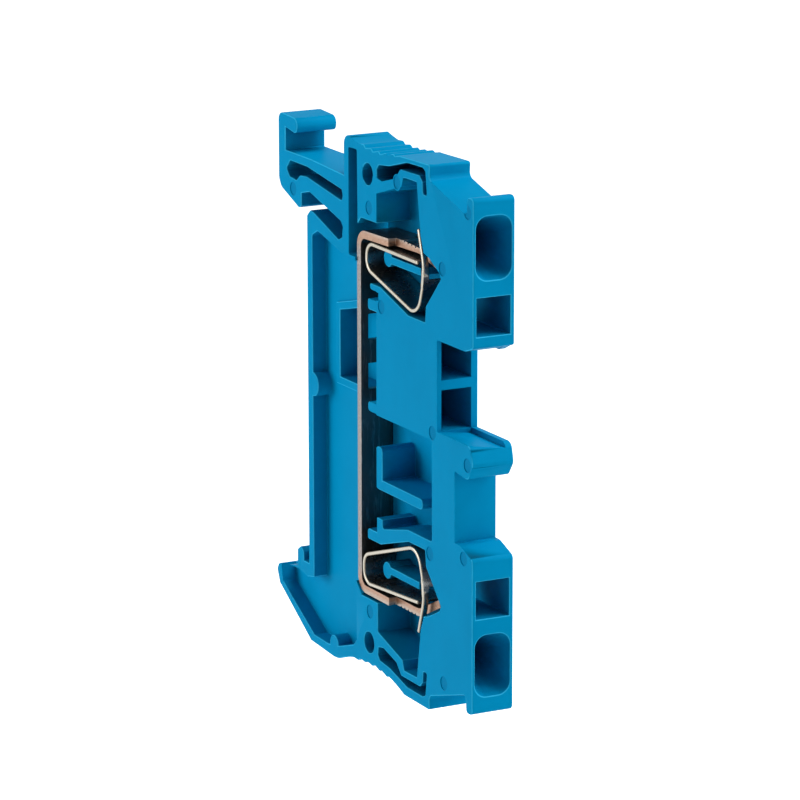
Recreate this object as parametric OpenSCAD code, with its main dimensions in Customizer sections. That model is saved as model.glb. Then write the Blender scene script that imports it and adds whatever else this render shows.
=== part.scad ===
// Rail-mounted feed-through terminal block with two spring clamps and one open side.
// X runs along the rail, Z is up and the wire entries face -Y. The rail's front plane is Y = 0.

/* [Block] */
// Width along the rail, which is the pitch of a row of blocks
block_w = 4.2; // [4:0.1:6.2]
// Distance from the rail's front plane to the front faces
front_reach = 32.5; // [31:0.5:38]
// Thickness of the closed side
side_wall = 0.7; // [0.5:0.05:0.9]
// Height of the housing above the bar's outer face
roof = 7.97; // [7.5:0.1:9]
// Corner radius of the moulded outline
corner_r = 0.25; // [0.1:0.05:0.3]
// How far the outline and the front entries lie below the middle of the rail
edge_drop = 0.25; // [0:0.05:0.35]

/* [Rail foot] */
// Height of the mounting rail over its flanges
rail_h = 35; // [34:0.5:36]
// Thickness of the rail's flange
flange_t = 1; // [0.8:0.1:1.3]
// Clearance round the flange
rail_gap = 0.15; // [0.1:0.05:0.3]
// Width of the rim that rests on the rail
seat_rim = 1.05; // [0.8:0.05:1.4]
// Depth of the recess in the open side of the foot
foot_recess = 1.5; // [1:0.1:2]
// Reach of the release tab behind the rail's front plane
tab_reach = 5.9; // [5:0.1:7]
// Reach of the lower foot behind the rail's front plane
foot_reach = 6.95; // [6:0.1:8]
// Width of the slot that frees the release spring
spring_slot = 1.7; // [1.2:0.1:2]

/* [Current bar] */
// Distance from the rail's front plane to the back of the bar
bar_back = 10; // [9.5:0.1:11]
// Thickness of the bar
bar_t = 0.75; // [0.6:0.05:0.9]
// Height of the bar over both legs
bar_h = 34.76; // [33:0.2:36]
// How far the bar rests below the middle of the rail
bar_drop = 0.35; // [0:0.05:0.4]
// Length of each leg to its bent tip
leg_len = 10.8; // [10:0.1:11.2]
// Width of each leg where it passes the spring's window
tip_w = 1.75; // [1.2:0.05:2]
// How far the upper leg's tip is bent in
upper_fall = 0.95; // [0.5:0.05:1.2]
// How far the lower leg's tip is bent in
lower_fall = 1.85; // [1.4:0.05:2]
// Clearance between the bar and its slot
bar_fit = 0.05; // [0.05:0.01:0.1]

/* [Clamp springs] */
// Thickness of the spring strip
spring_t = 0.38; // [0.3:0.02:0.5]
// Distance from the back of the bar to the front of each spring
clamp_len = 13.05; // [12.5:0.05:14]
// Diameter of the closed bend, to the middle of the strip
bend_d = 2.65; // [2.3:0.05:2.8]
// How far the strips lie below the open side
strip_inset = 0.15; // [0.1:0.05:0.3]
// Clearance between a strip and what it lies on
strip_fit = 0.05; // [0.03:0.01:0.1]

/* [Front] */
// Height of the wire entry's funnel
wire_h = 5.8; // [5:0.1:6]
// Diameter of the wire duct behind the funnel
duct_d = 2.6; // [2.2:0.1:2.7]
// Height of the screwdriver entry
driver_h = 3.5; // [3:0.1:3.6]
// Wall beside the entries in the front faces
front_wall = 0.3; // [0.25:0.05:0.4]
// Depth of the groove for a marker strip
marker_depth = 3.3; // [2.5:0.1:4]
// How far the jumper shafts lie behind the front faces
jumper_setback = 6.65; // [6:0.05:7]

/* [Alignment pegs] */
// Diameter of the holes in the open side
hole_d = 2.05; // [1.8:0.05:2.2]
// Clearance between a peg and the next block's hole, across the diameter
peg_fit = 0.1; // [0.05:0.05:0.2]
// Length of the pegs on the closed side
peg_len = 1.4; // [1:0.1:1.6]

/* [Hidden] */
$fn = 40;
EASE_FN = 16;
SLACK = 0.01;

// Planes across the width
open_x = -block_w / 2;
closed_x = block_w / 2;
floor_x = closed_x - side_wall;
foot_x = open_x + foot_recess;
strip_x = open_x + strip_inset;
strip_w = floor_x - strip_fit - strip_x;
strip_mid = strip_x + strip_w / 2;

// Heights of the entries and chambers from the bar's legs
wire_rise = 1.7;
driver_drop = 4.45;
chamber_h = 6.8;
ledge_h = 1.15;

// Heights above the rail's middle
leg_z = bar_h / 2;
half_h = leg_z + roof;
rail_z = rail_h / 2;
wire_z = leg_z + wire_rise;
driver_z = leg_z - driver_drop;
chamber_z = leg_z - chamber_h;
under_z = chamber_z - ledge_h;
lip_z = 1;
peg_z = half_h - 3.1;

// Distances in front of the rail
bar_front = bar_back + bar_t;
slot_u = bar_back - bar_fit;
block_u = bar_front + 3.35;
leg_u = bar_back + leg_len;
clamp_u = bar_back + clamp_len;
step_u = clamp_u + 1.35;
setback_u = front_reach - jumper_setback;
groove_u = front_reach - marker_depth;
peg_u = bar_front + 1.7;
rib_u = slot_u - 1.3;
release_u = rib_u - 1;

// Straight runs and arcs of bent strips
function unit(v) = v / norm(v);
function turned(v) = [-v[1], v[0]];
function wrapped(a) = a > 180 ? a - 360 : a < -180 ? a + 360 : a;
function bend(a, b, c, r, steps = 8) =
    let (
        p = unit(a - b),
        q = unit(c - b),
        half = acos(p * q) / 2,
        centre = b + unit(p + q) * r / sin(half),
        from = b + p * r / tan(half) - centre,
        to = b + q * r / tan(half) - centre,
        start = atan2(from[1], from[0]),
        sweep = wrapped(atan2(to[1], to[0]) - start)
    )
    [for (i = [0:steps]) centre + r * [cos(start + sweep * i / steps), sin(start + sweep * i / steps)]];
function bent_path(points, radii) =
    let (last = len(points) - 1)
    concat(
        [points[0]],
        [for (i = [1:last - 1]) each bend(points[i - 1], points[i], points[i + 1], radii[i - 1])],
        [points[last]]
    );
function side_of(path, gap) =
    let (last = len(path) - 1)
    [for (i = [0:last])
        let (
            before = unit(path[max(i, 1)] - path[max(i, 1) - 1]),
            after = unit(path[min(i, last - 1) + 1] - path[min(i, last - 1)]),
            middle = unit(before + after)
        )
        path[i] + turned(middle) * gap / (middle * before)];
function back_to_front(list) = [for (i = [len(list) - 1:-1:0]) list[i]];

// An outline's corners are [u, z], or [u, z, r] where a corner has its own radius
function place(p) = [p[0], p[1]];
function arced(list) =
    let (n = len(list))
    [for (i = [0:n - 1])
        each len(list[i]) == 2
            ? [list[i]]
            : bend(place(list[(i + n - 1) % n]), place(list[i]), place(list[(i + 1) % n]), list[i][2], 5)];

module bent_strip(points, radii, t) {
    path = bent_path(points, radii);
    polygon(concat(side_of(path, t / 2), back_to_front(side_of(path, -t / 2))));
}

// Side views are drawn as distance in front of the rail and height, then extruded across the width
module across(x0, x1) {
    translate([x0, 0, 0]) rotate([90, 0, 90]) linear_extrude(x1 - x0) mirror([1, 0]) children();
}
module from_open(depth_x) {
    across(open_x - SLACK, depth_x) children();
}
module both_halves() {
    children();
    mirror([0, 1]) children();
}
module eased(r = corner_r) {
    offset(r = r, $fn = EASE_FN) offset(delta = -2 * r) offset(r = r, $fn = EASE_FN) children();
}
module box_at(u0, u1, z0, z1) {
    translate([u0, z0]) square([u1 - u0, z1 - z0]);
}

// Stretches of the outline, clockwise from the rail seat
hook_u = -flange_t - rail_gap;
seat_low = -rail_z - rail_gap;
function seat_and_hook() = [
    [0, seat_low],
    [hook_u, seat_low],
    [hook_u, seat_low + 0.85],
    [hook_u - 0.65, seat_low + 1.3],
    [hook_u - 1.25, seat_low + 0.85],
    [hook_u - 1.25, seat_low - 0.8]
];
function lower_foot() = [
    [0.35 - foot_reach, seat_low - 1.6],
    [-foot_reach, seat_low - 2.2],
    [0.55 - foot_reach, seat_low - 3.5],
    [0.3, 0.1 - half_h],
    [slot_u - 4.8, -0.25 - half_h],
    [slot_u - 1.4, -half_h]
];
function block_edge(half) = [
    [clamp_u - 4, half - 0.15],
    [step_u, half - 0.05],
    [step_u - 0.1, half - 1.4, 0.6],
    [front_reach - 1.25, half - 3.4, 0.35],
    [front_reach - 1.1, half - 1.77, 0.35],
    [front_reach, half - 1.77, 0.45]
];
function front_steps() = [
    [front_reach, 0.05 - under_z, 0.5],
    [groove_u + 1, 0.9 - under_z],
    [groove_u, 0.9 - under_z],
    [groove_u, lip_z - 2.9],
    [front_reach - 0.9, lip_z - 3.2, 0.6],
    [front_reach + 0.05, lip_z - 1.8, 0.8],
    [front_reach - 0.4, lip_z, 0.8],
    [setback_u, lip_z],
    [setback_u, under_z],
    [front_reach - 1.4, under_z],
    [front_reach, under_z + 0.5]
];
function release_tab() = [
    [release_u + 2, half_h - 0.05],
    [release_u, half_h - 0.15, 0.9],
    [release_u, rail_z + 3.9],
    [1, rail_z + 4.25],
    [1.45 - tab_reach, rail_z + 4.3],
    [1.45 - tab_reach, rail_z + 6.5],
    [3.9 - tab_reach, rail_z + 6.1, 0.6],
    [4 - tab_reach, rail_z + 7.6, 0.75],
    [-tab_reach, rail_z + 7.8, 0.7],
    [-tab_reach, rail_z + 1.4, 1],
    [0.5 - tab_reach, rail_z + 0.6, 0.8],
    [hook_u - 0.55, rail_z - 0.8],
    [hook_u, rail_z - 0.55],
    [hook_u, rail_z + 0.7],
    [0.5, rail_z + 1.1],
    [release_u - 0.65, rail_z - 0.55, 0.4],
    [release_u - 0.2, rail_z - 1.1, 0.4],
    [release_u - 0.35, rail_z - 2, 0.4],
    [release_u - 1.15, rail_z - 2.4, 0.3],
    [1.5, rail_z - 0.75],
    [0.7, rail_z - 0.6],
    [0, rail_z - 1.2]
];
function mirrored(list) = [for (p = back_to_front(list)) concat([p[0], -p[1]], len(p) > 2 ? [p[2]] : [])];

// Concave thumb grips with ridges in the top and bottom edges
ridge_pitch = 1.46;
ridge_h = 0.2;
ridges = 5;
module thumb_grip(u, low_z, r) {
    translate([u, low_z + r]) circle(r = r, $fn = 160);
}
module grip_ridges(u, low_z, r) {
    turn = 180 / PI * ridge_pitch / r;
    for (i = [0:ridges - 1])
        translate([u, low_z + r])
            rotate((i - (ridges - 1) / 2) * turn)
                translate([0, -r])
                    polygon([
                        [-0.75, -ridge_h],
                        [-0.75, 0],
                        [0.15, ridge_h],
                        [0.35, 0.8 * ridge_h],
                        [0.6, 0],
                        [0.6, -ridge_h]
                    ]);
}
top_grip_u = slot_u + 4.33;
top_grip_z = half_h - 0.85;
top_grip_r = 22;
low_grip_u = slot_u + 2.9;
low_grip_z = half_h - 1.15;
low_grip_r = 17.8;
module outline() {
    difference() {
        eased()
            polygon(arced(concat(
                seat_and_hook(),
                lower_foot(),
                mirrored(back_to_front(block_edge(half_h + edge_drop))),
                front_steps(),
                back_to_front(block_edge(half_h - edge_drop)),
                release_tab()
            )));
        thumb_grip(top_grip_u, top_grip_z, top_grip_r);
        mirror([0, 1]) thumb_grip(low_grip_u, low_grip_z, low_grip_r);
    }
    grip_ridges(top_grip_u, top_grip_z, top_grip_r);
    mirror([0, 1]) grip_ridges(low_grip_u, low_grip_z, low_grip_r);
}

// Slots that go through the whole width and let the release spring bend
module release_slots() {
    eased(0.3) {
        polygon([
            [1.6 - tab_reach, rail_z + 2.6],
            [2.4 - tab_reach, rail_z + 3.45],
            [0.2, rail_z + 3.4],
            [release_u - 0.5, rail_z + 2.45],
            [release_u - 0.15, rail_z + 2],
            [release_u - 0.5, rail_z + 1.4],
            [0, rail_z + 2.45],
            [-1.4, rail_z + 2.35],
            [-2.2, rail_z + 1.75],
            [2.3 - tab_reach, rail_z + 1.9]
        ]);
        box_at(rib_u, slot_u - 0.1, slot_low, slot_top);
    }
}
slot_low = rail_z - 3.4;
slot_top = half_h - 1.15;
module rib_slot() {
    eased(0.2) box_at(rib_u, rib_u + spring_slot, slot_low, slot_top);
}

// Recess in the side of the foot, with the boss and stop that stand in it
module foot_recess_outline() {
    difference() {
        eased()
            polygon([
                [seat_rim, rail_z - 2.9],
                [2.2, rail_z - 2.35],
                [release_u - 0.6, rail_z - 3.5],
                [slot_u, rail_z - 3.5],
                [slot_u, 2.7 - half_h],
                [slot_u - 0.7, 2.05 - half_h],
                [slot_u - 3.7, 1.1 - half_h],
                [slot_u - 6, 0.75 - half_h],
                [1, 0.85 - half_h],
                [1.3 - foot_reach, seat_low - 3.2],
                [0.95 - foot_reach, seat_low - 1.2],
                [hook_u - 1.1, seat_low - 1.05],
                [-0.4, seat_low - 1.4],
                [seat_rim, seat_low - 1.1]
            ]);
        translate([slot_u - 4.75, 1.05 - half_h]) circle(r = 0.85);
        translate([seat_rim, 0.2]) circle(r = 1.15);
    }
}

// Well behind the bar, where the jumper's prongs end, and the frame round it
well_frame = 0.75;
module jumper_well() {
    polygon([
        [slot_u - 5.55, 1.5],
        [slot_u + SLACK, 1.5],
        [slot_u + SLACK, under_z - 0.2],
        [slot_u - 5.55, under_z - 1.5]
    ]);
}

// Clamp chamber: bar pocket, wire pocket and the space for the spring
bar_bend = 1.55;
module clamp_chamber() {
    pocket_z = leg_z + bar_drop + 0.25;
    polygon([
        [slot_u, leg_z - 5.2],
        [slot_u, pocket_z - 0.7 * bar_bend],
        [slot_u + 0.7 * bar_bend, pocket_z],
        [block_u + 0.1, pocket_z],
        [block_u + 0.1, half_h - 4.6],
        [clamp_u - 3.95, half_h - 3.15],
        [clamp_u - 3.65, half_h - 2.25],
        [clamp_u - 1.1, half_h - 2.25],
        [clamp_u - 0.35, leg_z + 0.95],
        [clamp_u + 0.2, leg_z - 0.45],
        [clamp_u + 1.25, leg_z - 0.75],
        [clamp_u + 3.25, leg_z - 1.75],
        [clamp_u + 3.5, leg_z - 2.25],
        [clamp_u + 0.65, leg_z - 5.3],
        [clamp_u + 0.5, chamber_z],
        [clamp_u - 2.75, chamber_z],
        [block_u + 0.7, leg_z - 5.2]
    ]);
}

// Peg inside the spring's closed bend, with its rib; the lower one sits a little further in
spring_peg_x = open_x + 1.05;
lower_peg_shift = [-0.3, -0.3];
module spring_peg() {
    translate([block_u + 0.3, leg_z - 2.7]) circle(d = 1.6);
    box_at(block_u + 0.3, clamp_u - 2.3, leg_z - 3.15, leg_z - 2.45);
}

// Bent relief slot round the end of the wire pocket
module relief_slot() {
    polygon([
        [block_u + 0.2, half_h - 3.15],
        [block_u + 1.2, half_h - 3.3],
        [clamp_u - 5.15, half_h - 2.6],
        [clamp_u - 4.2, half_h - 1.6],
        [clamp_u - 0.55, half_h - 1.55],
        [clamp_u, half_h - 2.05],
        [clamp_u + 0.1, half_h - 3.15],
        [clamp_u + 0.85, half_h - 3.2],
        [clamp_u + 0.55, half_h - 1],
        [clamp_u, half_h - 0.75],
        [clamp_u - 3, half_h - 0.8],
        [clamp_u - 6.5, half_h - 1.7],
        [block_u + 0.5, half_h - 1.9],
        [block_u + 0.1, half_h - 2.35]
    ]);
}

// Slot between the bar and the middle block, with the tabs that hold the bar back
tab_u = bar_front + 1.65;
module bar_slot() {
    difference() {
        box_at(slot_u, block_u, 4.7 - leg_z, leg_z - 4.7);
        eased(0.3) {
            box_at(tab_u + 0.45, block_u + 1, leg_z - 5.75, leg_z - 5.1);
            box_at(tab_u, block_u + 1, under_z + 0.25, under_z + 1.3);
            box_at(tab_u, block_u + 1, lip_z - 0.9, lip_z);
            box_at(tab_u - 0.15, block_u + 1, 5.1 - leg_z, 6.2 - leg_z);
        }
    }
    box_at(block_u - SLACK, block_u + 0.45, under_z + 1.4, leg_z - 5.8);
}

// Open cavity under the jumper shafts, with an angled rib standing in it
cavity_low = -chamber_z + 1.1;
module middle_cavity() {
    difference() {
        eased()
            polygon([
                [block_u - 1, lip_z - 1],
                [setback_u - 1, lip_z - 1],
                [setback_u - 1, cavity_low],
                [clamp_u - 2.85, cavity_low],
                [block_u + 1.1, cavity_low - 1.15],
                [block_u + 1.1, cavity_low - 0.25],
                [block_u - 1, cavity_low - 0.25]
            ]);
        eased(0.45) {
            box_at(block_u - 0.1, block_u + 1.1, cavity_low + 2.5, lip_z - 3.9);
            box_at(block_u - 0.1, clamp_u, cavity_low + 2.5, cavity_low + 3.5);
        }
    }
}

// Two shafts for jumper prongs, open at the set-back front and at the bar
shaft_wall = 0.45;
shaft_web = 0.9;
shaft_h = (under_z - lip_z - shaft_web) / 2;
module jumper_shafts() {
    for (z = [lip_z, lip_z + shaft_h + shaft_web])
        translate([open_x + shaft_wall, -setback_u - SLACK, z])
            cube([floor_x - open_x - shaft_wall, setback_u - block_u + 2 * SLACK, shaft_h]);
}

// The lip's top falls towards the closed side, whose rims guide a jumper's head
rim_h = 0.2;
lip_fall = 0.5;
module lip_slope() {
    run = floor_x - open_x;
    translate([open_x, -front_reach - 1, lip_z + SLACK])
        rotate([0, atan(lip_fall / run), 0])
            cube([norm([run, lip_fall]), front_reach + 1 - setback_u + SLACK, lip_fall + 1]);
}
module upper_rim() {
    rim_u = setback_u - 0.5;
    eased(0.15)
        polygon([
            [rim_u, under_z + 1],
            [rim_u, under_z - rim_h],
            [front_reach - 1.6, under_z - rim_h],
            [front_reach - 0.6, under_z + 0.3],
            [front_reach - 0.6, under_z + 1]
        ]);
}

// Shallow marks that the ejector pins of the mould leave in the open side
mark_r = 0.65;
mark_depth = 0.06;
web_mark = [clamp_u - 4.85, half_h - 2.9];
module web_boss() {
    translate(web_mark) circle(r = mark_r + 0.1, $fn = 24);
}
module ejector_marks() {
    for (p = [
        [front_reach - 1, half_h - 3.35],
        [front_reach - 5.65, leg_z - 1.3],
        web_mark,
        [block_u + 1, chamber_z - 0.2],
        [setback_u - 0.85, lip_z - 0.3],
        [front_reach - 0.95, lip_z - 1.85],
        [front_reach - 1.6, -under_z - 0.15],
        [step_u + 0.1, -chamber_z - 0.1],
        [front_reach - 5.3, 3.15 - half_h],
        [3.1 - tab_reach, rail_z + 0.85]
    ])
        translate(p) circle(r = mark_r, $fn = 24);
    both_halves() translate([peg_u + 0.25, leg_z + 1.8]) circle(r = mark_r, $fn = 24);
}

// Wire entry: an oval funnel and the round duct to the wire pocket
funnel_depth = 5;
funnel_r = 1.2;
module funnel_mouth() {
    offset(r = funnel_r, $fn = 32)
        square([block_w - 2 * front_wall - 2 * funnel_r, wire_h - 2 * funnel_r], center = true);
}
module wire_entry() {
    translate([0, -front_reach, wire_z]) {
        hull() {
            translate([0, -SLACK, 0]) rotate([-90, 0, 0]) linear_extrude(SLACK) funnel_mouth();
            translate([0, funnel_depth, 0]) rotate([-90, 0, 0]) cylinder(d = duct_d, h = SLACK, $fn = 32);
        }
        rotate([-90, 0, 0]) cylinder(d = duct_d, h = front_reach - clamp_u + 1.1);
    }
}
module driver_entry() {
    wall = front_wall + 0.1;
    translate([open_x + wall, -front_reach - SLACK, driver_z - driver_h / 2])
        cube([block_w - 2 * wall, front_reach - clamp_u - 0.55, driver_h]);
}
module peg_hole() {
    translate([open_x - SLACK, -peg_u, peg_z]) rotate([0, 90, 0]) cylinder(d = hole_d, h = peg_len + 0.6);
}
module peg() {
    translate([closed_x - SLACK, -peg_u, peg_z])
        rotate([0, 90, 0]) cylinder(d = hole_d - peg_fit, h = peg_len + SLACK);
}

module housing() {
    color("#0a8cc0") {
        difference() {
            across(open_x, closed_x) outline();
            across(open_x - SLACK, closed_x + SLACK) release_slots();
            from_open(floor_x) rib_slot();
            difference() {
                from_open(foot_x) foot_recess_outline();
                across(foot_x - 0.3, foot_x) offset(delta = well_frame) jumper_well();
            }
            from_open(floor_x) jumper_well();
            from_open(floor_x)
                difference() {
                    both_halves() {
                        eased(0.15) clamp_chamber();
                        eased(0.2) relief_slot();
                    }
                    web_boss();
                }
            from_open(floor_x) bar_slot();
            from_open(floor_x) middle_cavity();
            jumper_shafts();
            lip_slope();
            translate([0, 0, -edge_drop])
                for (side = [0, 1])
                    mirror([0, 0, side]) {
                        wire_entry();
                        driver_entry();
                    }
            for (side = [0, 1])
                mirror([0, 0, side]) peg_hole();
            from_open(open_x + mark_depth) ejector_marks();
        }
        across(spring_peg_x, floor_x + SLACK) {
            spring_peg();
            translate(lower_peg_shift) mirror([0, 1]) spring_peg();
        }
        across(floor_x, closed_x) upper_rim();
        for (side = [0, 1])
            mirror([0, 0, side]) peg();
    }
}

// Bent current bar with a narrow, angled tip and wire grooves on each leg, and two windows for jumper prongs
tip_run = 3.85;
tip_end = leg_u + tip_run + bar_t;
neck_u = leg_u - 4.6;
window_h = shaft_h - 1.3;
grooves = 5;
groove_pitch = 0.7;
groove_depth = 0.16;
upper_sag = 0.25;
upper_press = 0.3;
module wire_grip(press = 0) {
    press_end = leg_u + 1.2;
    for (i = [0:grooves - 1])
        translate([neck_u + 1 + i * groove_pitch, leg_z - press * (i + 1) / (grooves + 1)])
            rotate(45) square(groove_depth * sqrt(2), center = true);
    if (press > 0)
        polygon([
            [neck_u, leg_z],
            [press_end, leg_z - press],
            [press_end, leg_z + bar_t],
            [neck_u, leg_z + bar_t]
        ]);
}
module current_bar() {
    leg_mid = leg_z - bar_t / 2;
    back_mid = bar_back + bar_t / 2;
    bend_mid = bar_bend - bar_t / 2;
    color("#b9a99c")
        translate([0, 0, -bar_drop])
            difference() {
                across(strip_x, strip_x + strip_w)
                    bent_strip(
                        [
                            [leg_u + tip_run, leg_mid - upper_fall],
                            [leg_u, leg_mid],
                            [back_mid, leg_mid - upper_sag],
                            [back_mid, -leg_mid],
                            [leg_u, -leg_mid],
                            [leg_u + tip_run, lower_fall - leg_mid]
                        ],
                        [3, bend_mid, bend_mid, 3],
                        bar_t
                    );
                across(strip_x - SLACK, strip_x + strip_w + SLACK) {
                    wire_grip(upper_press);
                    mirror([0, 1]) wire_grip();
                }
                for (x = [strip_x - strip_w, strip_mid + tip_w / 2])
                    translate([x, -tip_end, -leg_z])
                        cube([strip_w + (strip_w - tip_w) / 2, tip_end - neck_u, bar_h]);
                for (i = [0, 1])
                    translate([
                        strip_mid - tip_w / 2,
                        -bar_front - SLACK,
                        lip_z + bar_drop + 0.65 + i * (shaft_h + shaft_web)
                    ])
                        cube([tip_w, bar_t + 2 * SLACK, window_h]);
            }
}

// Cage clamp spring: a leg on the bar, a closed bend and a leg with a window round the bar's tip
nose_r = bend_d / 2 + 0.4;
nose_back = bend_d / 2 - 0.2;
bow_low = lower_fall + 0.55;
bow_top = lower_fall - 0.4;
bow_r = 2 * bend_d - 0.3;
cage_low = lower_fall + 1.25;
cage_h = lower_fall + 2.15;
module clamp_spring(side, bend_gap, leg_sag, leg_rise) {
    leg_in = leg_z - bar_t - side * bar_drop - strip_fit - spring_t / 2;
    bend_u = bar_front + bend_gap + spring_t / 2;
    front_u = clamp_u - spring_t / 2;
    low_z = chamber_z + 0.25 + spring_t / 2;
    window_side = (strip_w - tip_w) / 2 - 0.2;
    color("#d8d2c4")
        difference() {
            across(strip_x, strip_x + strip_w)
                bent_strip(
                    [
                        [leg_u + 1, leg_in - leg_rise],
                        [bend_u, leg_in - leg_sag],
                        [bend_u - 0.1, leg_in - bend_d],
                        [front_u - nose_back, low_z - 0.3],
                        [front_u + 0.25, leg_z - bow_low],
                        [front_u - nose_back + 0.15, leg_z + bow_top]
                    ],
                    [bend_d / 2 - 0.12, bend_d / 2 - 0.08, nose_r, bow_r],
                    spring_t
                );
            translate([strip_x + window_side, -front_u - bend_d / 2, leg_z - cage_low])
                cube([strip_w - 2 * window_side, bend_d, cage_h]);
        }
}
module upper_clamp_spring() {
    clamp_spring(side = 1, bend_gap = 0.9, leg_sag = upper_sag, leg_rise = 0.35);
}
module lower_clamp_spring() {
    mirror([0, 0, 1]) clamp_spring(side = -1, bend_gap = 0.2, leg_sag = 0, leg_rise = 0.75);
}

housing();
current_bar();
upper_clamp_spring();
lower_clamp_spring();
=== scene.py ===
import bmesh
import bpy
import numpy as np
from mathutils import Matrix, Vector
from mathutils.bvhtree import BVHTree


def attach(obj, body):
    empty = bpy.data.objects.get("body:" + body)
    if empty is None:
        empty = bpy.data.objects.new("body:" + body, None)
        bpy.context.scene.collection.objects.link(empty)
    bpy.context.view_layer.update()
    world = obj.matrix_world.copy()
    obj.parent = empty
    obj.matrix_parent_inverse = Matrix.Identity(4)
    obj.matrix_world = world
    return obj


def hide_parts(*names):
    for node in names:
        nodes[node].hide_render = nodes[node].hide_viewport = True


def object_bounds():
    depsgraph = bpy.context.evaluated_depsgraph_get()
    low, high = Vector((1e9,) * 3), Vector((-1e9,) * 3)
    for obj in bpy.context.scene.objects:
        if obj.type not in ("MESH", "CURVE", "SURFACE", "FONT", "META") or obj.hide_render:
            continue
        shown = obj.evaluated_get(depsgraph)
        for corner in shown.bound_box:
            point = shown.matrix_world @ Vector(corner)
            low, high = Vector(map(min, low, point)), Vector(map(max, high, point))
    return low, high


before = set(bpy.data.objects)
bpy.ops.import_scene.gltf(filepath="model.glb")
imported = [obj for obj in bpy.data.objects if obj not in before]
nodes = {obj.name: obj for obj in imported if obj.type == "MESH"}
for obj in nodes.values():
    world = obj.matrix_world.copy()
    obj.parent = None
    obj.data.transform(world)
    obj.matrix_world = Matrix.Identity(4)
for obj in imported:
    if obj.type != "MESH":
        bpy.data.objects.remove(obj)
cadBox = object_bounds()
scene = bpy.context.scene
scene.view_settings.view_transform = "Standard"
print("frame loaded:", sorted(nodes))

# long lens, turned towards the open side and a little above the block
cameraSetup = {
    "lens": 198.0,  # mm
    "sensor": 36.0,
    "azimuth": -27.75,  # degrees
    "elevation": 13.58,
    "roll": -0.087,
    "distance": 0.41698,  # metres
    "aim": (0.00546, -0.00439, -0.0015),
    "clip": (0.01, 20.0),
}


# camera axes: back points from the aim to the camera, level lies flat across it, upright is square to both,
# and roll turns level and upright about back
def makeCamera(setup):
    turn, lift, roll = np.radians([setup["azimuth"], setup["elevation"], setup["roll"]])
    back = np.array([np.sin(turn) * np.cos(lift), -np.cos(turn) * np.cos(lift), np.sin(lift)])
    level = np.array([np.cos(turn), np.sin(turn), 0.0])
    upright = np.cross(back, level)
    right = level * np.cos(roll) + upright * np.sin(roll)
    up = upright * np.cos(roll) - level * np.sin(roll)
    place = np.array(setup["aim"]) + back * setup["distance"]
    data = bpy.data.cameras.new("viewCamera")
    data.lens = setup["lens"]
    data.sensor_width = setup["sensor"]
    data.clip_start, data.clip_end = setup["clip"]
    camera = bpy.data.objects.new("viewCamera", data)
    axes = np.stack([right, up, back, place], axis=1)
    camera.matrix_world = Matrix([*axes.tolist(), [0, 0, 0, 1]])
    scene.collection.objects.link(camera)
    scene.camera = camera


makeCamera(cameraSetup)
print("camera set")


# new material, its node tree and its shader
def freshMaterial(name):
    material = bpy.data.materials.new(name)
    material.use_nodes = True
    tree = material.node_tree
    return material, tree, tree.nodes["Principled BSDF"]


# new node with values in its sockets
def addNode(tree, kind, **sockets):
    node = tree.nodes.new(kind)
    for key, value in sockets.items():
        node.inputs[key].default_value = value
    return node


# one operation on one or two values, each a number or another node's output
def reckon(tree, mode, *sources):
    node = tree.nodes.new("ShaderNodeMath")
    node.operation = mode
    for socket, source in zip(node.inputs, sources):
        if isinstance(source, float):
            socket.default_value = source
        else:
            tree.links.new(source, socket)
    return node.outputs[0]


# straight line from one span of values to another, held at both ends
def remap(tree, source, fromMin, fromMax, toMin=0.0, toMax=1.0):
    change = addNode(tree, "ShaderNodeMapRange")
    for key, value in (("From Min", fromMin), ("From Max", fromMax), ("To Min", toMin), ("To Max", toMax)):
        change.inputs[key].default_value = value
    tree.links.new(source, change.inputs["Value"])
    return change.outputs["Result"]


# first colour where the share is nought, second where it is one
def mixColour(tree, share, first, second):
    blend = tree.nodes.new("ShaderNodeMix")
    blend.data_type = "RGBA"
    sockets = [blend.inputs[i] for i in (0, 6, 7)]  # share and both colours
    for socket, source in zip(sockets, (share, first, second)):
        if isinstance(source, tuple):
            socket.default_value = (*source, 1)
        else:
            tree.links.new(source, socket)
    return blend.outputs[2]


# colour that runs from stop to stop, each stop a level and the colour that it has there
def rampColour(tree, source, stops):
    node = tree.nodes.new("ShaderNodeValToRGB")
    elements = node.color_ramp.elements
    while len(elements) < len(stops):
        elements.new(1.0)
    for element, (level, colour) in zip(elements, stops):
        element.position = level
        element.color = (*colour, 1)
    tree.links.new(source, node.inputs["Fac"])
    return node.outputs["Color"]


# value that a mesh carries under a name
def carried(tree, name):
    reader = tree.nodes.new("ShaderNodeAttribute")
    reader.attribute_name = name
    return reader.outputs["Fac"]


# noise drawn out along the axes with the smaller scales, which are in cycles per metre
def streaks(tree, scale, detail=3.0):
    place = tree.nodes.new("ShaderNodeTexCoord")
    stretch = tree.nodes.new("ShaderNodeMapping")
    stretch.inputs["Scale"].default_value = scale
    tree.links.new(place.outputs["Object"], stretch.inputs["Vector"])
    lines = addNode(tree, "ShaderNodeTexNoise", Scale=1.0, Detail=detail, Roughness=0.6)
    tree.links.new(stretch.outputs["Vector"], lines.inputs["Vector"])
    return lines.outputs["Fac"]


# how squarely a face looks along an axis, either way: along X it is one on a strip's cut edge and nought on
# its rolled faces
def faceShare(tree, axis):
    facing = tree.nodes.new("ShaderNodeNewGeometry")
    split = tree.nodes.new("ShaderNodeSeparateXYZ")
    tree.links.new(facing.outputs["Normal"], split.inputs[0])
    return reckon(tree, "ABSOLUTE", split.outputs[axis])


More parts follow.
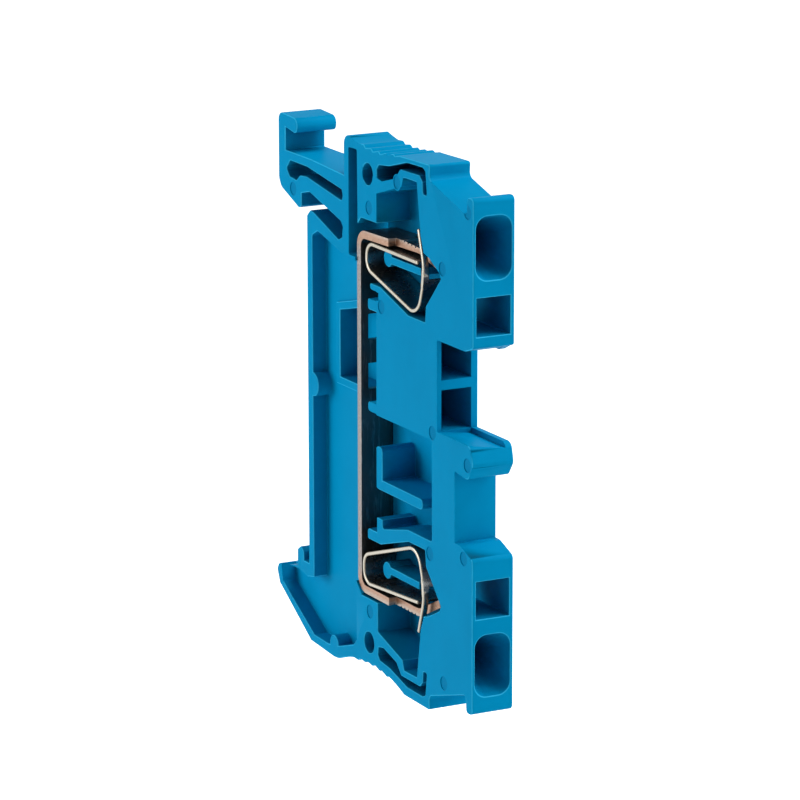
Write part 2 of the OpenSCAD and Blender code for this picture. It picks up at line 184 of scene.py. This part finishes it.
# one where a camera, mirror or clear ray arrives, nought for the rays that only carry light
def seenDirectly(tree):
    path = tree.nodes.new("ShaderNodeLightPath")
    mirror = path.outputs["Is Glossy Ray"]
    clear = path.outputs["Is Transmission Ray"]
    return reckon(tree, "MAXIMUM", path.outputs["Is Camera Ray"], reckon(tree, "MAXIMUM", mirror, clear))


# studio: pale floor well below the block, and square soft lamps that face its middle
studioSetup = {
    "floorDrop": 0.03,  # below the block's lowest point
    "floorHalf": 3.0,
    "floorWhite": (0.9, 0.9, 0.9),
    "floorRoughness": 0.9,
    "floorGlow": 0.8,  # near the block, where its shadow shows
    "shadowReach": (0.12, 0.4),  # metres from the block over which the glow rises to white
    "worldLevel": 0.2,
    "middle": (0, -0.0145, 0),
    "lampReach": 0.25,
    "lampSize": 0.16,
    "lamps": {  # where each stands, seen from the block, and its power in watts
        "openSideLamp": ((-0.85, 0.5, 0.15), 0.44),
        "frontLamp": ((0.5, -0.85, 0.2), 0.232),
        "roofLamp": ((0.5, -0.2, 0.85), 0.57),
    },
}


# square floor whose glow, in the rays that are seen, rises with the distance from the block
def makeFloor(setup):
    low = cadBox[0].z - setup["floorDrop"]
    half = setup["floorHalf"]
    corners = [[-half, -half, low], [half, -half, low], [half, half, low], [-half, half, low]]
    mesh = bpy.data.meshes.new("studioFloor")
    mesh.from_pydata(corners, [], [(0, 1, 2, 3)])
    floor = bpy.data.objects.new("studioFloor", mesh)
    scene.collection.objects.link(floor)
    paint, tree, matt = freshMaterial("floorWhite")
    matt.inputs["Base Color"].default_value = (*setup["floorWhite"], 1)
    matt.inputs["Roughness"].default_value = setup["floorRoughness"]
    matt.inputs["Emission Color"].default_value = (1, 1, 1, 1)
    place = tree.nodes.new("ShaderNodeTexCoord")
    away = tree.nodes.new("ShaderNodeVectorMath")
    away.operation = "DISTANCE"
    away.inputs[1].default_value = (0, 0, low)
    tree.links.new(place.outputs["Object"], away.inputs[0])
    glow = remap(tree, away.outputs["Value"], *setup["shadowReach"], setup["floorGlow"])
    shown = reckon(tree, "MULTIPLY", glow, seenDirectly(tree))
    tree.links.new(shown, matt.inputs["Emission Strength"])
    mesh.materials.append(paint)


# sky that is white where it is seen and weaker as a light
def makeWorld(setup):
    world = bpy.data.worlds.new("studioWorld")
    world.use_nodes = True
    tree = world.node_tree
    sky = tree.nodes["Background"]
    sky.inputs["Color"].default_value = (1, 1, 1, 1)
    tree.links.new(remap(tree, seenDirectly(tree), 0.0, 1.0, setup["worldLevel"]), sky.inputs["Strength"])
    scene.world = world


# lamps at one distance from the block's middle, each turned to look at it
def makeLamps(setup):
    for name, (towards, power) in setup["lamps"].items():
        data = bpy.data.lights.new(name, "AREA")
        data.size = setup["lampSize"]
        data.energy = power
        light = bpy.data.objects.new(name, data)
        away = Vector(towards).normalized()
        light.location = Vector(setup["middle"]) + away * setup["lampReach"]
        light.rotation_euler = away.to_track_quat("Z", "Y").to_euler()
        scene.collection.objects.link(light)


makeFloor(studioSetup)
makeWorld(studioSetup)
makeLamps(studioSetup)
print("studio set")

# limits for the rounding of edges; each share is of the rounding's width
rounding = {
    "mergeGap": 0.00004,  # metres; corners closer than this are one corner
    "seamAngle": np.radians(0.6),  # flatter seams than this are cleared
    "edgeAngle": np.radians(32.0),  # sharper edges than this are rounded
    "creaseAngle": np.radians(48.0),  # edges that stay sharper than this keep a crease
    "speckGap": 0.000002,  # shorter edges than this are cleared after rounding
    "speckArea": 1e-12,  # square metres; smaller facets than this are not judged
    "broadArea": 0.000004,  # larger faces than this are shaded flat
    "stripArea": 0.000002,  # larger faces than this belong to no rounded strip
    "stripSides": 4,  # nor do faces with more sides
    "tries": 12,
    "twistRatio": 2.2,  # area of a twisted facet's triangles to its flat area
    "besideShare": 2.2,  # how far from a facet the solid still lies beside it
    "leastAgreement": 0.3,  # cosine between a facet and the solid beside it
    "proudShare": 0.38,  # how far from the solid a corner is proud
    "insideRatio": 0.5,  # depth under the nearest face to the distance from it, of a corner inside
    "bendShare": 0.2,  # how far out of its plane a bent face has a corner
    "movedShare": 0.05,  # how far from the solid a corner has moved
    "faultShare": 1.1,  # how near a fault an edge is left sharp
    "turnShare": 0.29,  # depth in the middle of a square edge's rounding
    "areaWeight": 90,  # how much larger faces lead the shading
}


# whether any point lies within reach of each edge: a point is dropped square on to the edge's line and held
# between its ends
def nearEdges(points, ends, reach):
    along = ends[:, 1] - ends[:, 0]
    squared = np.maximum((along * along).sum(1), 1e-18)  # never nought
    share = np.einsum("pej,ej->pe", points[:, None] - ends[None, :, 0], along) / squared
    foot = ends[None, :, 0] + along[None] * np.clip(share, 0, 1)[..., None]
    return (np.linalg.norm(points[:, None] - foot, axis=2) < reach).any(0)


# node's form with close corners merged and flat seams cleared, and the node's own faces to measure from
def mergedForm(nodeName):
    form = bmesh.new()
    form.from_mesh(nodes[nodeName].data)
    solid = BVHTree.FromBMesh(form)
    bmesh.ops.remove_doubles(form, verts=form.verts[:], dist=rounding["mergeGap"])
    bmesh.ops.dissolve_limit(
        form, angle_limit=rounding["seamAngle"], verts=form.verts[:], edges=form.edges[:],
    )
    form.edges.ensure_lookup_table()
    form.edges.index_update()
    return form, solid


# copy of a form in which each chosen edge is a strip of short facets and each other one is marked sharp
def bevelled(form, chosen, others, width, segments):
    soft = form.copy()
    soft.edges.ensure_lookup_table()
    for i in others:
        soft.edges[i].smooth = False
    bmesh.ops.bevel(
        soft, geom=[soft.edges[i] for i in chosen], offset=width, offset_type="OFFSET",
        segments=segments, profile=0.5, affect="EDGES", clamp_overlap=False, loop_slide=False,
    )
    soft.normal_update()
    return soft


# corners of folded triangles: the facet is twisted, so that its triangles have far more area than it has
# flat, or the triangle is turned against its own facet or against the solid beside it
def foldedCorners(soft, solid, width):
    cut = soft.copy()
    owner = cut.faces.layers.int.new("owner")
    for place, face in enumerate(cut.faces):
        face[owner] = place
    facing = np.array([face.normal[:] for face in cut.faces])
    flat = np.array([face.calc_area() for face in cut.faces])
    bmesh.ops.triangulate(cut, faces=cut.faces[:])
    areas = np.array([face.calc_area() for face in cut.faces])
    whole = np.bincount([face[owner] for face in cut.faces], areas, len(flat))
    twisted = whole > rounding["twistRatio"] * flat + rounding["speckArea"]
    found = []
    for face, area in zip(cut.faces, areas):
        if area <= rounding["speckArea"]:
            continue
        against = face.normal.dot(facing[face[owner]]) < 0
        beside = solid.find_nearest_range(face.calc_center_median(), rounding["besideShare"] * width)
        agreement = max((normal.dot(face.normal) for _, normal, _, _ in beside), default=-1.0)
        if twisted[face[owner]] or against or agreement < rounding["leastAgreement"]:
            found += [corner.co[:] for corner in face.verts]
    cut.free()
    return found


# corners proud of the solid: far from its nearest face, and not well under that face
def proudCorners(soft, solid, width):
    found = []
    for corner in soft.verts:
        foot, normal, _, far = solid.find_nearest(corner.co)
        height = (corner.co - foot).dot(normal)
        if far > rounding["proudShare"] * width and height > -rounding["insideRatio"] * far:
            found.append(corner.co[:])
    return found


# moved corners of bent faces: a face with many sides is bent when a corner lies out of its plane
def bentCorners(soft, solid, width):
    found = []
    for face in soft.faces:
        if len(face.verts) <= rounding["stripSides"]:
            continue
        centre = face.calc_center_median()
        height = max(abs((corner.co - centre).dot(face.normal)) for corner in face.verts)
        if height > rounding["bendShare"] * width:
            moved = rounding["movedShare"] * width
            distances = [solid.find_nearest(corner.co)[-1] for corner in face.verts]
            found += [corner.co[:] for corner, far in zip(face.verts, distances) if far > moved]
    return found


# form with rounded edges: all sharp edges but the upright ones on the sharp lines are bevelled, edges near
# a fault are then left sharp and the others bevelled anew, until there is no fault or no try is left
def roundedForm(nodeName, form, solid, width, segments, sharpLines):
    limit = rounding["edgeAngle"]
    sharp = np.array([edge.index for edge in form.edges if edge.calc_face_angle(0.0) > limit])
    ends = np.array([[corner.co[:] for corner in form.edges[i].verts] for i in sharp])
    kept = np.ones(len(sharp), bool)
    for line in sharpLines:
        kept &= (np.abs(ends[:, :, :2] - line) > rounding["mergeGap"]).any((1, 2))
    for triesLeft in reversed(range(rounding["tries"])):
        soft = bevelled(form, sharp[kept], sharp[~kept], width, segments)
        faults = foldedCorners(soft, solid, width)
        faults += proudCorners(soft, solid, width)
        faults += bentCorners(soft, solid, width)
        clash = kept & nearEdges(np.array(faults).reshape(-1, 3), ends, rounding["faultShare"] * width)
        if not clash.any() or not triesLeft:
            break
        kept &= ~clash
        soft.free()
    length = np.linalg.norm(ends[:, 1] - ends[:, 0], axis=1) * 1000
    print(nodeName, "rounded", round(length[kept].sum()), "of", round(length.sum()), "mm of edges")
    return soft


# values of one kind for all faces, corners or edges of a mesh
def meshValues(items, name, kind, size=1):
    values = np.empty(len(items) * size, kind)
    items.foreach_get(name, values)
    return values


# edgeTurn: depth of a strip's corners under the solid's nearest face, one in the middle of a rounded edge,
# less than nought in a filled inner corner, and nought on all faces that belong to no strip
def writeEdgeTurn(mesh, solid, width):
    hits = [solid.find_nearest(vertex.co)[:2] for vertex in mesh.vertices]
    depth = np.array([(foot - vertex.co).dot(normal) for (foot, normal), vertex in zip(hits, mesh.vertices)])
    turn = np.clip(depth / (rounding["turnShare"] * width), -1, 1)
    corners = meshValues(mesh.loops, "vertex_index", np.int32)
    sides = meshValues(mesh.polygons, "loop_total", np.int32)
    extent = meshValues(mesh.polygons, "area", np.float32)
    onStrip = np.repeat((sides <= rounding["stripSides"]) & (extent < rounding["stripArea"]), sides)
    edgeTurn = mesh.attributes.new("edgeTurn", "FLOAT", "CORNER")
    edgeTurn.data.foreach_set("value", (turn[corners] * onStrip).astype(np.float32))


# broad faces flat, the others smooth, with a crease along each edge that is unrounded or still sharp
def shadeFaces(piece):
    mesh = piece.data
    extent = meshValues(mesh.polygons, "area", np.float32)
    mesh.polygons.foreach_set("use_smooth", extent < rounding["broadArea"])
    unrounded = meshValues(mesh.edges, "use_edge_sharp", bool)
    mesh.set_sharp_from_angle(angle=rounding["creaseAngle"])
    creased = meshValues(mesh.edges, "use_edge_sharp", bool)
    mesh.edges.foreach_set("use_edge_sharp", creased | unrounded)
    shade = piece.modifiers.new("faceNormals", "WEIGHTED_NORMAL")
    shade.mode = "FACE_AREA"
    shade.weight = rounding["areaWeight"]
    shade.keep_sharp = True


# rounded copy that takes a node's place
def roundedCopy(nodeName, width, segments, sharpLines=()):
    form, solid = mergedForm(nodeName)
    soft = roundedForm(nodeName, form, solid, width, segments, sharpLines)
    bmesh.ops.dissolve_degenerate(soft, dist=rounding["speckGap"], edges=soft.edges[:])
    mesh = bpy.data.meshes.new(nodeName + "_soft")
    soft.to_mesh(mesh)
    soft.free()
    form.free()
    writeEdgeTurn(mesh, solid, width)
    piece = bpy.data.objects.new(nodeName + "_soft", mesh)
    scene.collection.objects.link(piece)
    shadeFaces(piece)
    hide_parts(nodeName)
    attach(piece, "root")
    return piece


housingSetup = {
    "edge": 0.0001,  # metres
    "segments": 3,
    "sharpLines": ((0.0014, -0.00985), (0.0021, -0.00865)),  # upright edges of the through slot, x and y
    "blue": (0.0, 0.265, 0.52),
    "deepBlue": (0.0, 0.245, 0.485),
    "mottle": 260.0,  # cycles per metre
    "mottleSpan": (0.3, 0.7),  # noise levels of the deep blue and the blue
    "highlightBlue": (0.04, 0.54, 0.87),  # painted highlight along rounded edges
    "highlightSpan": (0.02, 0.6),  # edgeTurn at which the painted highlight starts and is full
    "highlightShare": 0.9,
    "shadeBlue": (0.0, 0.03, 0.1),  # painted shade deep in the recesses
    "shadeReach": 0.0035,
    "shadeSpan": (0.06, 0.5),  # open shares at which the shade is full and ends
    "markShadeBlue": (0.0, 0.165, 0.35),  # painted shade on the floors of the ejector marks
    "markShadeShare": 0.6,
    "markFloor": -0.00204,  # x of those floors
    "markSlack": 0.000005,  # metres either way
    "markFacing": -0.99,  # x of their normals, at most
    "markArea": 0.0000008,  # square metres; a smaller floor is cut short by another edge
    "specular": 0.008,
    "roughness": (0.36, 0.48),  # over the grain
    "grain": 9000.0,
    "grainDepth": 0.000003,
    "grainStrength": 0.35,
}


# pinMarkShade: share of painted shade on each whole floor of an ejector mark, found by its depth, facing and
# area, and nought on all other faces
def writePinMarkShade(piece, setup):
    faces = piece.data.polygons
    across = meshValues(faces, "center", np.float32, 3)[::3]
    facing = meshValues(faces, "normal", np.float32, 3)[::3]
    onFloor = (np.abs(across - setup["markFloor"]) < setup["markSlack"]) & (facing < setup["markFacing"])
    onMark = onFloor & (meshValues(faces, "area", np.float32) > setup["markArea"])
    pinMarkShade = piece.data.attributes.new("pinMarkShade", "FLOAT", "FACE")
    pinMarkShade.data.foreach_set("value", (setup["markShadeShare"] * onMark).astype(np.float32))
    print("pin marks:", int(onMark.sum()))


# blue plastic: slow mottle, painted shade on the ejector marks and deep in recesses, a painted highlight
# along rounded edges, and a fine grain in gloss and bump
def polyamide(setup):
    material, tree, shader = freshMaterial("bluePolyamide")
    links = tree.links
    shader.inputs["Specular IOR Level"].default_value = setup["specular"]
    place = tree.nodes.new("ShaderNodeTexCoord")
    mottle = addNode(tree, "ShaderNodeTexNoise", Scale=setup["mottle"], Detail=4.0, Roughness=0.55)
    links.new(place.outputs["Object"], mottle.inputs["Vector"])
    stops = list(zip(setup["mottleSpan"], (setup["deepBlue"], setup["blue"])))
    tint = rampColour(tree, mottle.outputs["Fac"], stops)
    # painted shade: ambient occlusion darkens the blue towards shadeBlue deep in recesses
    recess = addNode(tree, "ShaderNodeAmbientOcclusion", Distance=setup["shadeReach"])
    recess.samples = 2
    openness = remap(tree, recess.outputs["AO"], *setup["shadeSpan"])
    openness.node.interpolation_type = "SMOOTHSTEP"  # no rim where the shade ends
    # painted shade: darker blue on the floors of the ejector marks, standing in for their depth
    markShaded = mixColour(tree, carried(tree, "pinMarkShade"), tint, setup["markShadeBlue"])
    shaded = mixColour(tree, openness, setup["shadeBlue"], markShaded)
    # painted highlight: paler blue along rounded edges, kept out of the painted shade in recesses
    highlightAmount = remap(tree, carried(tree, "edgeTurn"), *setup["highlightSpan"], 0.0, setup["highlightShare"])
    highlightedColour = mixColour(tree, reckon(tree, "MULTIPLY", highlightAmount, openness), shaded, setup["highlightBlue"])
    links.new(highlightedColour, shader.inputs["Base Color"])
    grain = addNode(tree, "ShaderNodeTexNoise", Scale=setup["grain"], Detail=3.0)
    links.new(place.outputs["Object"], grain.inputs["Vector"])
    links.new(remap(tree, grain.outputs["Fac"], 0, 1, *setup["roughness"]), shader.inputs["Roughness"])
    bump = addNode(tree, "ShaderNodeBump", Strength=setup["grainStrength"], Distance=setup["grainDepth"])
    links.new(grain.outputs["Fac"], bump.inputs["Height"])
    links.new(bump.outputs["Normal"], shader.inputs["Normal"])
    return material


housing = roundedCopy("housing", housingSetup["edge"], housingSetup["segments"], housingSetup["sharpLines"])
writePinMarkShade(housing, housingSetup)
housing.data.materials.append(polyamide(housingSetup))
print("housing dressed")

springSetup = {
    "edge": 0.00012,  # metres
    "segments": 3,
    "strip": (  # how squarely a face looks sideways, and its colour there
        (0.15, (0.3, 0.31, 0.3)),  # rolled faces
        (0.55, (0.15, 0.12, 0.08)),  # painted shade: brown where the edge turns
        (0.88, (0.3, 0.275, 0.215)),  # cream beside the cut
        (0.985, (0.37, 0.348, 0.295)),  # bright sheared edge
    ),
    "cloud": (500, 500, 500),  # cycles per metre
    "temper": (0.12, 0.096, 0.064),
    "temperSpan": (0.5, 0.8),  # noise levels at which the tempering starts and is full
    "temperShare": 0.15,
    "roughness": (0.18, 0.36),  # over the clouds
}


# spring strip: dark rolled faces, brown rounded rims that are painted shade, and a bright cut edge, with
# faint cloudy tempering
def springSteel(setup):
    material, tree, shader = freshMaterial("springSteel")
    shader.inputs["Metallic"].default_value = 1.0
    # the brown stop on the rounded rims is painted shade
    strip = rampColour(tree, faceShare(tree, "X"), setup["strip"])
    cloud = streaks(tree, setup["cloud"])
    share = remap(tree, cloud, *setup["temperSpan"], 0.0, setup["temperShare"])
    tree.links.new(mixColour(tree, share, strip, setup["temper"]), shader.inputs["Base Color"])
    tree.links.new(remap(tree, cloud, 0, 1, *setup["roughness"]), shader.inputs["Roughness"])
    return material


steel = springSteel(springSetup)
for nodeName in ("upper_clamp_spring", "lower_clamp_spring"):
    spring = roundedCopy(nodeName, springSetup["edge"], springSetup["segments"])
    spring.data.materials.append(steel)
print("springs dressed")

barSetup = {
    "edge": 0.00003,  # metres
    "segments": 2,
    "tin": (0.12, 0.118, 0.112),
    "paleTin": (0.32, 0.31, 0.29),  # drawn lines along the faces
    "lines": (3200, 700, 420),  # cycles per metre
    "lineSpan": (0.52, 0.78),  # noise levels of the tin and the pale tin
    "smearedTin": (0.175, 0.165, 0.165),  # cut edge of the upright run
    "copper": (0.275, 0.16, 0.105),  # cut edge of the legs
    "rimTin": (0.31, 0.3, 0.27),  # outer rim of the legs
    "rimShare": 0.8,
    "specks": (2600, 5200, 5200),
    "speckDetail": 6.0,
    "paleCopper": (0.4, 0.325, 0.265),
    "paleSpan": (0.53, 0.7),  # noise levels at which the pale spots start and are full
    "paleShare": 0.6,
    "darkSpots": (0.085, 0.06, 0.05),
    "darkSpan": (0.46, 0.32),
    "darkShare": 0.7,
    "barMiddle": 0.00035,  # below the origin
    "legFrom": (0.0150, 0.0163),  # distance from the bar's middle, where tin gives way to copper
    "rimFrom": (0.0169, 0.01735),
    "shoulderFrom": (0.0161, 0.0165),
    "tipFrom": (0.0212, 0.0224),  # reach forward of the origin, where the tips begin
    "sideSpan": (0.6, 0.9),  # how squarely a cut edge looks sideways
    "aheadSpan": (0.7, 0.9),  # how squarely a shoulder or tip looks forward
    "roughness": (0.22, 0.46),  # over the specks
}


# bar: tinned faces with drawn lines along them, and sheared edges that are tin-smeared on the upright run
# and copper on the legs, shoulders and tips, with small dark and pale spots
def tinnedCopper(setup):
    material, tree, shader = freshMaterial("tinnedCopper")
    links = tree.links
    shader.inputs["Metallic"].default_value = 1.0
    drawn = remap(tree, streaks(tree, setup["lines"]), *setup["lineSpan"])
    face = mixColour(tree, drawn, setup["tin"], setup["paleTin"])
    place = tree.nodes.new("ShaderNodeTexCoord")
    split = tree.nodes.new("ShaderNodeSeparateXYZ")
    links.new(place.outputs["Object"], split.inputs[0])
    height = reckon(tree, "ABSOLUTE", reckon(tree, "ADD", split.outputs["Z"], setup["barMiddle"]))
    onLeg = remap(tree, height, *setup["legFrom"])
    onTip = remap(tree, split.outputs["Y"], -setup["tipFrom"][0], -setup["tipFrom"][1])
    edge = mixColour(tree, reckon(tree, "MAXIMUM", onLeg, onTip), setup["smearedTin"], setup["copper"])
    onRim = remap(tree, height, *setup["rimFrom"], 0.0, setup["rimShare"])
    edge = mixColour(tree, onRim, edge, setup["rimTin"])
    specks = streaks(tree, setup["specks"], setup["speckDetail"])
    pale = remap(tree, specks, *setup["paleSpan"], 0.0, setup["paleShare"])
    edge = mixColour(tree, pale, edge, setup["paleCopper"])
    dark = remap(tree, specks, *setup["darkSpan"], 0.0, setup["darkShare"])
    edge = mixColour(tree, dark, edge, setup["darkSpots"])
    sideways = remap(tree, faceShare(tree, "X"), *setup["sideSpan"])
    ahead = remap(tree, faceShare(tree, "Y"), *setup["aheadSpan"])
    onEnds = reckon(tree, "MAXIMUM", remap(tree, height, *setup["shoulderFrom"]), onTip)
    sheared = reckon(tree, "MAXIMUM", sideways, reckon(tree, "MULTIPLY", ahead, onEnds))
    links.new(mixColour(tree, sheared, face, edge), shader.inputs["Base Color"])
    links.new(remap(tree, specks, 0, 1, *setup["roughness"]), shader.inputs["Roughness"])
    return material


bar = roundedCopy("current_bar", barSetup["edge"], barSetup["segments"])
bar.data.materials.append(tinnedCopper(barSetup))
print("bar dressed")
